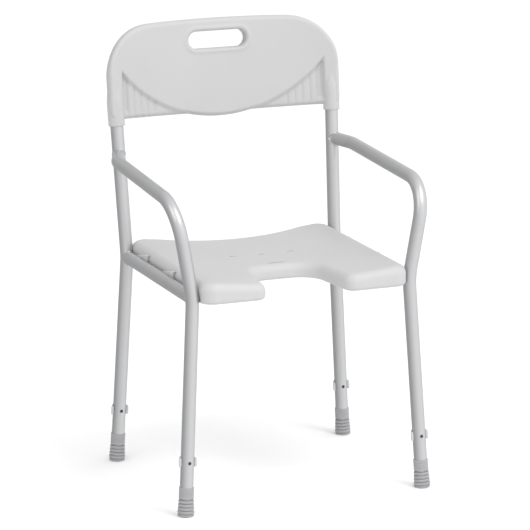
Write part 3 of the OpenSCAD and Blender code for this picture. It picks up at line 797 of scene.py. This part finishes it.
def back_front(p):
    """Height of the front face. The panel is proud inside the big arc and along the sides, the
    corners outside the arc are set back and fluted, and the slot has a soft lip."""
    x, s = p[:, 0], p[:, 1]
    inside_arc = smooth((SMILE_R - np.hypot(x, s - SMILE_LOW - SMILE_R)) / 11.0 + 0.4)
    beside = np.abs(x)
    panel = np.maximum(inside_arc, smooth((beside - EDGE_FROM) / 6.0))
    from_flute = (beside - FLUTES_FROM - 0.5) % FLUTE_PITCH - FLUTE_PITCH / 2
    flutes = np.exp(-(np.abs(from_flute) / 2.2) ** 2) * smooth((beside - FLUTES_FROM) / 6)
    flutes *= smooth((FLUTES_TO - beside) / 4)
    strip = smooth((beside - STRIP_FROM) / 4) * smooth((s - STRIP_LOW) / 8)
    recess = RECESS - FLUTE_DEPTH * flutes - STRIP_DEPTH * strip
    reach = np.hypot(np.clip(beside - slot_half[0], 0, None), s - SLOT_S) - SLOT_H / 2
    lip = LIP * np.exp(-((reach - 6.0) / 3.6) ** 2)
    return -bow(x) + recess + (PANEL - recess) * panel + lip


def back_rear(p):
    return -bow(p[:, 0]) + BACK_REAR


def from_back_plane(points):
    """From (x, s, height) in the leaning plane to the room; height points to the sitter."""
    x, s, rear = points[:, 0], points[:, 1], -points[:, 2]
    return np.stack([x, REAR_KNEE[1] + rear * np.cos(LEAN) + s * np.sin(LEAN),
                     RAIL_H + s * np.cos(LEAN) - rear * np.sin(LEAN)], 1)


back_points, back_faces = plate(back_outline, [slot_loop], back_front, back_rear,
                                rim=9.0, low_rim=8.0, hole_rim=4.0, pitch=2.2, low_pitch=6.0)
back = make_mesh("back_moulding", from_back_plane(back_points), back_faces, crease=50)
print("back:", len(back_points), "points")

# %% Post sleeves of the backrest
def sleeve(sign, turns=64):
    """A socket round a post: a turned wall, round at its mouth, that sinks into the plate."""
    s0, s1, outer, bore, sink = 256.0, 296.0, 16.0, 12.9, 54
    a = np.linspace(0, np.pi, 9)
    mouth = np.stack([(outer + bore) / 2 + (outer - bore) / 2 * -np.cos(a), s0 + 1.6 - 1.6 * np.sin(a)], 1)
    fade = np.linspace(0, 1, 16)[1:]
    top = np.stack([outer - 5.0 * smooth(fade), s1 + sink * fade], 1)
    wall = np.stack([np.full(20, outer), np.linspace(s0 + 4, s1, 20)], 1)
    blind = np.array([[0.01, s1 - 3], [bore, s1 - 3], [bore, s0 + 20]])
    profile = np.concatenate([blind, mouth, wall, top[:-1], [[0.01, s1 + sink]]])
    turn = circle_angles(turns)
    tilt = np.arctan(np.tan(SPLAY) * np.cos(LEAN))
    x = profile[:, :1] * np.cos(turn)
    height = profile[:, :1] * np.sin(turn)
    s = np.broadcast_to(profile[:, 1:], x.shape)
    flat = np.stack([RAIL_X + x * np.cos(tilt) + s * np.sin(tilt),
                     s * np.cos(tilt) - x * np.sin(tilt), height], -1)
    points = from_back_plane(flat.reshape(-1, 3))
    return mirrored(points, sign), turned_over(grid_faces(len(profile), turns, wrap_rows=True), sign > 0)


for side, sign in SIDES:
    points, faces = sleeve(sign)
    add_piece(make_mesh(f"back_sleeve_{side}", points, faces, crease=50),
              "frame", back_plastic)
stand_for(back, "backrest", "frame", back_plastic)

# %% [markdown]
# ## Turned pieces: cuffs and rubber tips
# A cuff and a tip are round about the leg, so each is a profile spun round the leg's axis. The
# tip's ribs are bulges in its profile. The legs splay, so the tip's base is cut level with the
# floor: any point below the floor is brought up to it.

# %% Profiles of a cuff and of a tip
EXTENSION_ROOM_R, TUBE_ROOM_R, TIP_H, TIP_BASE = 11.2, 12.72, 31.5, -2.0


def turned(profile, foot, knee, sign, turns=64):
    """A closed profile (r, z) spun about the leg: points r cos a, r sin a, z."""
    a = circle_angles(turns)
    r, z = profile[:, :1], profile[:, 1:]
    local = np.stack([r * np.cos(a), r * np.sin(a), np.broadcast_to(z, (len(profile), turns))], -1)
    faces = turned_over(grid_faces(len(profile), turns, wrap_rows=True), sign < 0)
    return on_leg(local.reshape(-1, 3), foot, knee, sign), faces


def cuff_profile():
    """Up the outside with shallow rings, over the top edge, and down the bore."""
    z = np.linspace(34.3, 54.6, 60)
    rings = 0.45 * smooth(2 * np.sin((z - 39) / 2.3 * np.pi)) * ((z > 38) & (z < 52))
    outside = np.stack([14.2 - rings, z], 1)
    base = [[EXTENSION_ROOM_R, 33.5], [13.6, 33.5], [14.0, 33.8]]
    bore = [[13.8, 55.2], [13.2, 55.5], [TUBE_ROOM_R, 55.5], [TUBE_ROOM_R, 36.0], [EXTENSION_ROOM_R, 36.0]]
    return np.concatenate([base, outside, bore])


def tip_profile(ribs=5, rib_depth=3.0, corner_round=5.5):
    """Outside with round ribs on a taper from 16.4 to 14.7, then the mouth and the socket."""
    z = np.linspace(-1.5, 30.6, 150)
    taper = 16.4 - 1.7 * np.clip(z / TIP_H, 0, 1)
    wave = np.abs(np.sin(np.pi * (z - TIP_BASE) / (TIP_H - TIP_BASE) * ribs)) ** 0.6
    corner = np.clip((6.0 - z) / 7.5, 0, 1)
    inset = rib_depth * (1 - wave) + corner_round * (1 - np.sqrt(1 - corner ** 2))
    outside = np.stack([taper - inset, z], 1)
    base = [[0.01, TIP_BASE], [outside[0, 0] - 1.0, TIP_BASE]]
    socket = [[13.6, 31.3], [12.9, TIP_H], [EXTENSION_ROOM_R, TIP_H], [EXTENSION_ROOM_R, 8.0], [0.01, 8.0]]
    return np.concatenate([base, outside, socket])


print("profiles:", len(cuff_profile()), "and", len(tip_profile()), "points")

# %% A cuff and a tip on every leg
for end, foot, knee in ENDS:
    for side, sign in SIDES:
        points, faces = turned(cuff_profile(), foot, knee, sign)
        cuff = make_mesh(f"cuff_{end}_{side}", points, faces)
        stand_for(cuff, f"leg_cuff_{end}_{side}", "frame", cuff_plastic)
        points, faces = turned(tip_profile(), foot, knee, sign)
        points[:, 2] = np.maximum(points[:, 2], 0)
        tip = make_mesh(f"tip_{end}_{side}", points, faces, crease=50)
        stand_for(tip, f"rubber_tip_{end}_{side}", f"foot_{end}_{side}", rubber_finish)

# %% [markdown]
# ## Height clips
# A clip is a springy plastic U that hugs the back of the leg. It carries the pin, and has two
# ribbed ears for the fingers. Its section is a soft rectangle carried round an arc, and its
# thickness grows into the ears.

# %% Shapes of a clip and of its pin boss
CLIP_R, CLIP_WALL, EAR_GROWTH = 13.0, 2.2, 2.3


def clip_shape(foot, knee, sign, height=19.5):
    """A rounded section carried round the leg from ear to ear, behind it.

    At angle w the wall runs from CLIP_R out by a thickness that grows at the ears."""
    degrees = np.linspace(-17, 197, 90)[:, None]
    w = np.radians(degrees)
    ear = np.maximum(smooth((8 - degrees) / 14), smooth((degrees - 172) / 14))
    ribs = 3.5
    a = circle_angles(64)
    flat, tall = squared(np.cos(a), 0.45), squared(np.sin(a), 0.3)
    thick = CLIP_WALL + EAR_GROWTH * ear
    z = height / 2 * (1 - 0.12 * ear) * tall
    grip = 0.5 * ear * smooth(np.cos(z / height * 2 * np.pi * ribs)) * (flat > 0.3)
    end = np.where((w == w[0]) | (w == w[-1]), 0.8, 1.0)
    r = CLIP_R + thick / 2 + (thick / 2 * flat + grip) * end
    local = np.stack([r * np.cos(w), r * np.sin(w), PIN_H + z * end], -1)
    faces = turned_over(capped_faces(len(w), len(a)), sign > 0)
    return on_leg(local.reshape(-1, 3), foot, knee, sign), faces


def pin_boss(foot, knee, sign, turns=40):
    """A short round boss behind the leg that holds the pin, with a rounded end."""
    a = np.linspace(0, np.pi / 2, 8)
    start, end, boss_r, round_r = 13.2, 19.0, 5.5, 1.2
    edge = np.stack([boss_r + round_r * (np.cos(a) - 1), end + round_r * (np.sin(a) - 1)], 1)
    profile = np.concatenate([[[0.01, start], [boss_r, start]], edge, [[0.01, end]]])
    turn = circle_angles(turns)
    x, z = profile[:, :1] * np.cos(turn), PIN_H + profile[:, :1] * np.sin(turn)
    local = np.stack([x, np.broadcast_to(profile[:, 1:], x.shape), z], -1)
    faces = turned_over(grid_faces(len(profile), turns, wrap_rows=True), sign > 0)
    return on_leg(local.reshape(-1, 3), foot, knee, sign), faces


print("clip:", len(clip_shape(FRONT_FOOT, FRONT_KNEE, 1)[0]), "points")

# %% A clip and a boss on every leg
for end, foot, knee in ENDS:
    for side, sign in SIDES:
        points, faces = clip_shape(foot, knee, sign)
        clip = make_mesh(f"clip_{end}_{side}", points, faces, crease=45)
        stand_for(clip, f"height_clip_{end}_{side}", f"clip_{end}_{side}", clip_plastic)
        points, faces = pin_boss(foot, knee, sign)
        add_piece(make_mesh(f"clip_boss_{end}_{side}", points, faces),
                  f"clip_{end}_{side}", clip_plastic)

# %% [markdown]
# ## Frame pieces that keep their own shape
# The sliding extensions, the pins, the washers and the screws are plain turned or drilled
# metal, and the frame's own solids already are exactly that. They only take a finish.

# %% Finishes on the frame's own solids
for name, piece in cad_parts.items():
    if name.startswith("leg_extension"):
        finish = extension_finish
    # Pins, washers and screws take the steel whose nearly black colour is painted shade.
    elif name.startswith(("clip_pin", "tip_washer")) or name == "back_screws":
        finish = steel_shade_finish
    else:
        continue
    piece.data.materials.clear()
    piece.data.materials.append(finish)
    print(name, "->", finish.name)

# %% [markdown]
# ## Floor, light and camera
# The chair stands on a plain pale floor. Each quarter of the floor goes down with the foot that
# stands on it, so a leg that is let out still meets the ground. The metal doesn't mirror the
# floor: it mirrors a room that is brighter at the front right than behind, which gives every
# tube a light and a dark side. A large lamp high at the front right is the main light, and a
# weaker one on the left opens the shadows. The camera stands about six metres off with a long
# lens, so that the legs stay nearly parallel.

# %% Floor
FLOOR_REACH = 9000.0
pale = Finish("pale_floor").surface(Base_Color=(0.97, 0.97, 0.97, 1), Roughness=0.9)
chair_middle = (front_y + rear_y) / 2
for end, foot, knee in ENDS:
    for side, sign in SIDES:
        x0, x1 = sorted((0.0, sign * FLOOR_REACH))
        y0, y1 = sorted((chair_middle, chair_middle + np.sign(foot[1] - chair_middle) * FLOOR_REACH))
        corners = [[x0, y0, 0], [x1, y0, 0], [x1, y1, 0], [x0, y1, 0]]
        quarter = make_mesh(f"floor_{end}_{side}", corners, [[0, 1, 2, 3]])
        quarter.data.materials.append(pale)
        quarter.visible_glossy = False
        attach(quarter, f"foot_{end}_{side}")
print("floor quarters:", len(ENDS) * len(SIDES))

# %% The pale room
# The room's strength is a plain sum of the direction's x, y and z, so it has no edges to
# mirror. Seen directly it is even and white.
world = bpy.data.worlds.new("pale_room")
bpy.context.scene.world = world
room = Graph(world)
direction = room.add("ShaderNodeTexCoord", output="Generated")
across = room.add("ShaderNodeSeparateXYZ", None, {"Vector": direction})
glow = 0.93 + 0.28 * across - 0.32 * across.sibling("Y") + 0.18 * across.sibling("Z")
seen = room.add("ShaderNodeLightPath", output="Is Camera Ray")
pale_light = room.add("ShaderNodeBackground", None,
                      {"Color": (1, 1, 1, 1), "Strength": seen + (1 - seen) * glow})
room.add("ShaderNodeOutputWorld", None, {"Surface": pale_light})
print("room nodes:", len(room.tree.nodes))

# %% Lamps
def lamp(name, place, aim, size, watts):
    light = bpy.data.lights.new(name, "AREA")
    light.shape, light.size, light.energy = "DISK", size, watts
    lamp_object = bpy.data.objects.new(name, light)
    lamp_object.location = place
    lamp_object.rotation_euler = (Vector(aim) - Vector(place)).to_track_quat("-Z", "Y").to_euler()
    bpy.context.scene.collection.objects.link(lamp_object)


CHAIR_HEART = (0, 0, 0.5)
lamp("key_lamp", (1.1, -1.9, 3.4), CHAIR_HEART, 1.6, 34)
lamp("fill_lamp", (-2.2, -1.2, 3.0), CHAIR_HEART, 2.4, 14)

# %% Camera and colour
LENS, SENSOR = 222.38, 36.0
FROM_CHAIR, VIEW_DIRECTION = (-2.2967, -5.6719, 1.9032), (0.364, 0.901, -0.2359)
camera = bpy.data.cameras.new("camera")
camera.lens, camera.sensor_width = LENS, SENSOR
camera.clip_end = 100
camera_object = bpy.data.objects.new("camera", camera)
camera_object.location = Vector(FROM_CHAIR) + Vector((0, chair_middle * MM, 0))
camera_object.rotation_euler = Vector(VIEW_DIRECTION).to_track_quat("-Z", "Y").to_euler()
bpy.context.scene.collection.objects.link(camera_object)
bpy.context.scene.camera = camera_object
bpy.context.scene.view_settings.view_transform = "Standard"
print("camera at", tuple(round(v, 3) for v in camera_object.location))
